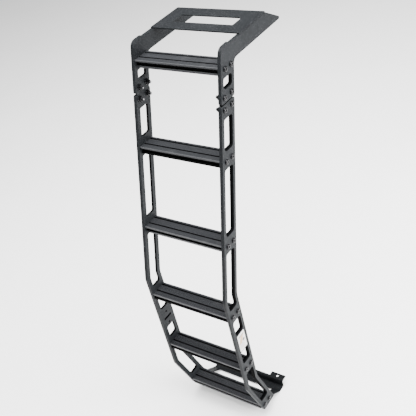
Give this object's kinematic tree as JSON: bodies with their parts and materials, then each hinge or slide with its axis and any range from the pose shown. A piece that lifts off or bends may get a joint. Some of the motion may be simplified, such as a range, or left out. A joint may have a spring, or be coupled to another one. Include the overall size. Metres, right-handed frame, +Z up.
{
  "type": "tailgate step ladder",
  "caption": "Fixed tailgate step ladder of two bent, pierced side plates that hook over a tailgate, with grooved box rungs between them and a bent foot bracket.",
  "frame": {"origin": "Centre line, in the inner corner of the hook: the level of the arms' undersides, at the rear edge of the rails.", "axes": "+X to the right along the rungs, +Y forward towards the vehicle, +Z up; the treads are level."},
  "size_m": [0.3506, 0.5889, 1.456],
  "materials": {
    "rail_coat": "fine textured black powder coat",
    "tread_coat": "satin black coated extrusion",
    "bolt_finish": "dark zinc plated",
    "label_film": "matt film"
  },
  "bodies": {
    "root": {"upper_rail_left": "rail_coat", "lower_rail_left": "rail_coat", "splice_plate_left": "rail_coat", "upper_rail_right": "rail_coat", "lower_rail_right": "rail_coat", "splice_plate_right": "rail_coat", "cap_plate": "rail_coat", "rung_1": "tread_coat", "rung_2": "tread_coat", "rung_3": "tread_coat", "rung_4": "tread_coat", "rung_5": "tread_coat", "rung_6": "tread_coat", "rung_bolt_left_1a": "bolt_finish", "rung_bolt_left_1b": "bolt_finish", "rung_bolt_left_2a": "bolt_finish", "rung_bolt_left_2b": "bolt_finish", "rung_bolt_left_3a": "bolt_finish", "rung_bolt_left_3b": "bolt_finish", "rung_bolt_left_4a": "bolt_finish", "rung_bolt_left_4b": "bolt_finish", "rung_bolt_left_5a": "bolt_finish", "rung_bolt_left_5b": "bolt_finish", "rung_bolt_left_6a": "bolt_finish", "rung_bolt_left_6b": "bolt_finish", "splice_bolt_left_1": "bolt_finish", "splice_nut_left_1": "bolt_finish", "splice_bolt_left_2": "bolt_finish", "splice_nut_left_2": "bolt_finish", "splice_bolt_left_3": "bolt_finish", "splice_nut_left_3": "bolt_finish", "splice_bolt_left_4": "bolt_finish", "splice_nut_left_4": "bolt_finish", "rung_bolt_right_1a": "bolt_finish", "rung_bolt_right_1b": "bolt_finish", "rung_bolt_right_2a": "bolt_finish", "rung_bolt_right_2b": "bolt_finish", "rung_bolt_right_3a": "bolt_finish", "rung_bolt_right_3b": "bolt_finish", "rung_bolt_right_4a": "bolt_finish", "rung_bolt_right_4b": "bolt_finish", "rung_bolt_right_5a": "bolt_finish", "rung_bolt_right_5b": "bolt_finish", "rung_bolt_right_6a": "bolt_finish", "rung_bolt_right_6b": "bolt_finish", "splice_bolt_right_1": "bolt_finish", "splice_nut_right_1": "bolt_finish", "splice_bolt_right_2": "bolt_finish", "splice_nut_right_2": "bolt_finish", "splice_bolt_right_3": "bolt_finish", "splice_nut_right_3": "bolt_finish", "splice_bolt_right_4": "bolt_finish", "splice_nut_right_4": "bolt_finish", "blank_label": "label_film", "foot_bracket": "rail_coat", "foot_bolt_left": "bolt_finish", "foot_nut_left": "bolt_finish", "foot_bolt_right": "bolt_finish", "foot_nut_right": "bolt_finish"}
  },
  "joints": []
}
